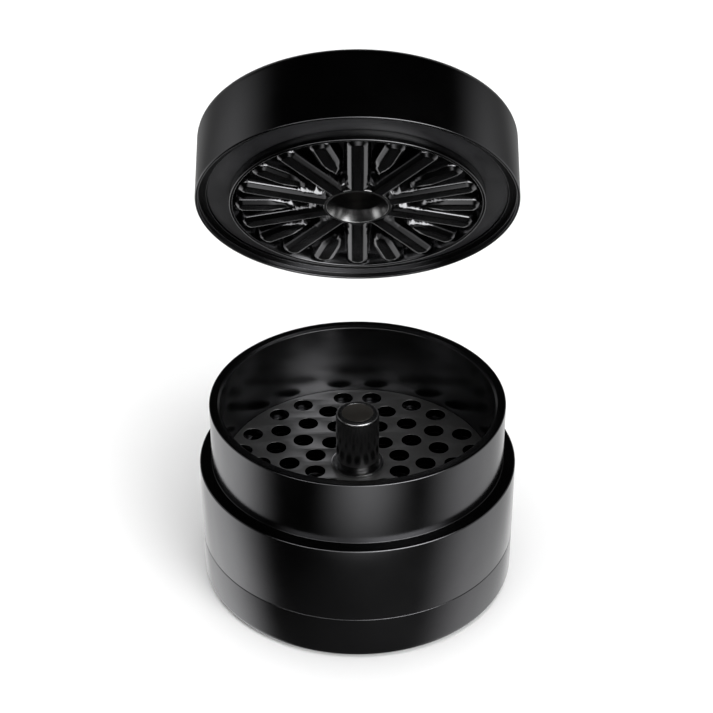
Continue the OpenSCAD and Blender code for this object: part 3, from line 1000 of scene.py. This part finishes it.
def make_front_card(scene):
    """A reflector lying in front, which the neck mirrors and the camera doesn't see."""
    build = bmesh.new()
    bmesh.ops.create_grid(build, x_segments=1, y_segments=1, size=CARD_HALF)
    mesh = bpy.data.meshes.new("front_card")
    build.to_mesh(mesh)
    build.free()
    card = bpy.data.objects.new("front_card", mesh)
    card.location = (0.0, -CARD_HALF, CARD_Z)
    scene.collection.objects.link(card)
    finish = bpy.data.materials.new("front_card")
    finish.use_nodes = True
    nodes = finish.node_tree.nodes
    links = finish.node_tree.links
    nodes.clear()
    place = nodes.new("ShaderNodeTexCoord")
    parts = nodes.new("ShaderNodeSeparateXYZ")
    links.new(place.outputs["Object"], parts.inputs["Vector"])
    away = nodes.new("ShaderNodeMath")
    away.operation = "SUBTRACT"
    away.inputs[1].default_value = CARD_SHIFT
    links.new(parts.outputs["X"], away.inputs[0])
    off = nodes.new("ShaderNodeMath")
    off.operation = "ABSOLUTE"
    links.new(away.outputs["Value"], off.inputs[0])

    def fade(value, start, end, level):
        node = nodes.new("ShaderNodeMapRange")
        node.interpolation_type = "SMOOTHSTEP"
        node.inputs["From Min"].default_value = start
        node.inputs["From Max"].default_value = end
        node.inputs["To Min"].default_value = 0.0
        node.inputs["To Max"].default_value = level
        links.new(value, node.inputs["Value"])
        return node.outputs["Result"]

    near = fade(parts.outputs["Y"], start=0.436, end=0.402, level=1.0)
    wide = fade(off.outputs["Value"], start=0.062, end=0.0, level=0.85)
    strength = nodes.new("ShaderNodeMath")
    strength.operation = "MULTIPLY"
    links.new(near, strength.inputs[0])
    links.new(wide, strength.inputs[1])
    body_glow = fade(off.outputs["Value"], start=0.055, end=0.0, level=0.075)
    total = nodes.new("ShaderNodeMath")
    total.operation = "ADD"
    links.new(strength.outputs["Value"], total.inputs[0])
    links.new(body_glow, total.inputs[1])
    light = nodes.new("ShaderNodeEmission")
    links.new(total.outputs["Value"], light.inputs["Strength"])
    clear = nodes.new("ShaderNodeBsdfTransparent")
    both = nodes.new("ShaderNodeAddShader")
    links.new(light.outputs["Emission"], both.inputs[0])
    links.new(clear.outputs["BSDF"], both.inputs[1])
    end = nodes.new("ShaderNodeOutputMaterial")
    links.new(both.outputs["Shader"], end.inputs["Surface"])
    mesh.materials.append(finish)
    card.visible_camera = False
    card.visible_diffuse = False
    card.visible_shadow = False


def make_camera(scene):
    """A camera in front of the grinder, looking down on it."""
    lens_data = bpy.data.cameras.new("front_camera")
    lens_data.sensor_width = 36.0
    lens_data.lens = CAMERA_LENS
    lens_data.clip_start = 0.01
    camera = bpy.data.objects.new("front_camera", lens_data)
    flange = RIM - scene.grinder_body.neck_h
    camera.location = (CAMERA_SIDE, -CAMERA_DISTANCE * math.cos(CAMERA_LIFT),
                       flange + CAMERA_DISTANCE * math.sin(CAMERA_LIFT))
    camera.rotation_euler = (math.pi / 2 - CAMERA_DIP, 0, 0)
    scene.collection.objects.link(camera)
    scene.camera = camera


class GRINDER_PT_panel(bpy.types.Panel):
    """Sizes, colours and the steps that build the grinder"""

    bl_idname = "GRINDER_PT_panel"
    bl_label = "Twist grinder"
    bl_space_type = "VIEW_3D"
    bl_region_type = "UI"
    bl_category = "Grinder"

    def draw(self, context):
        layout = self.layout
        for group in GROUPS:
            box = layout.box()
            settings = getattr(context.scene, group)
            box.label(text=GROUPS[group].__doc__)
            for name in GROUPS[group].__annotations__:
                box.prop(settings, name)
        for step in STEPS:
            layout.operator(step.bl_idname)


GROUPS = {
    "grinder_body": GrinderBodySizes,
    "grinder_plate": GrinderPlateSizes,
    "grinder_post": GrinderPostSizes,
    "grinder_lid": GrinderLidSizes,
    "grinder_rotor": GrinderRotorSizes,
    "grinder_colours": GrinderColours,
}
STEPS = (
    GRINDER_OT_finishes,
    GRINDER_OT_catch_cup,
    GRINDER_OT_grinding_chamber,
    GRINDER_OT_milling_plate,
    GRINDER_OT_centre_post,
    GRINDER_OT_lid_cover,
    GRINDER_OT_wave_spring,
    GRINDER_OT_rotor,
    GRINDER_OT_stage,
)


def register():
    """Registers the classes and puts the settings on the scene."""
    for cls in (*GROUPS.values(), *STEPS, GRINDER_PT_panel):
        bpy.utils.register_class(cls)
    for name, cls in GROUPS.items():
        setattr(bpy.types.Scene, name, PointerProperty(type=cls))


def unregister():
    """Takes the settings and the classes away again."""
    for name in GROUPS:
        delattr(bpy.types.Scene, name)
    for cls in reversed((*GROUPS.values(), *STEPS, GRINDER_PT_panel)):
        bpy.utils.unregister_class(cls)


def main():
    """Builds the grinder step by step."""
    register()
    for step in STEPS:
        group, name = step.bl_idname.split(".")
        getattr(getattr(bpy.ops, group), name)()


if __name__ == "__main__":
    main()
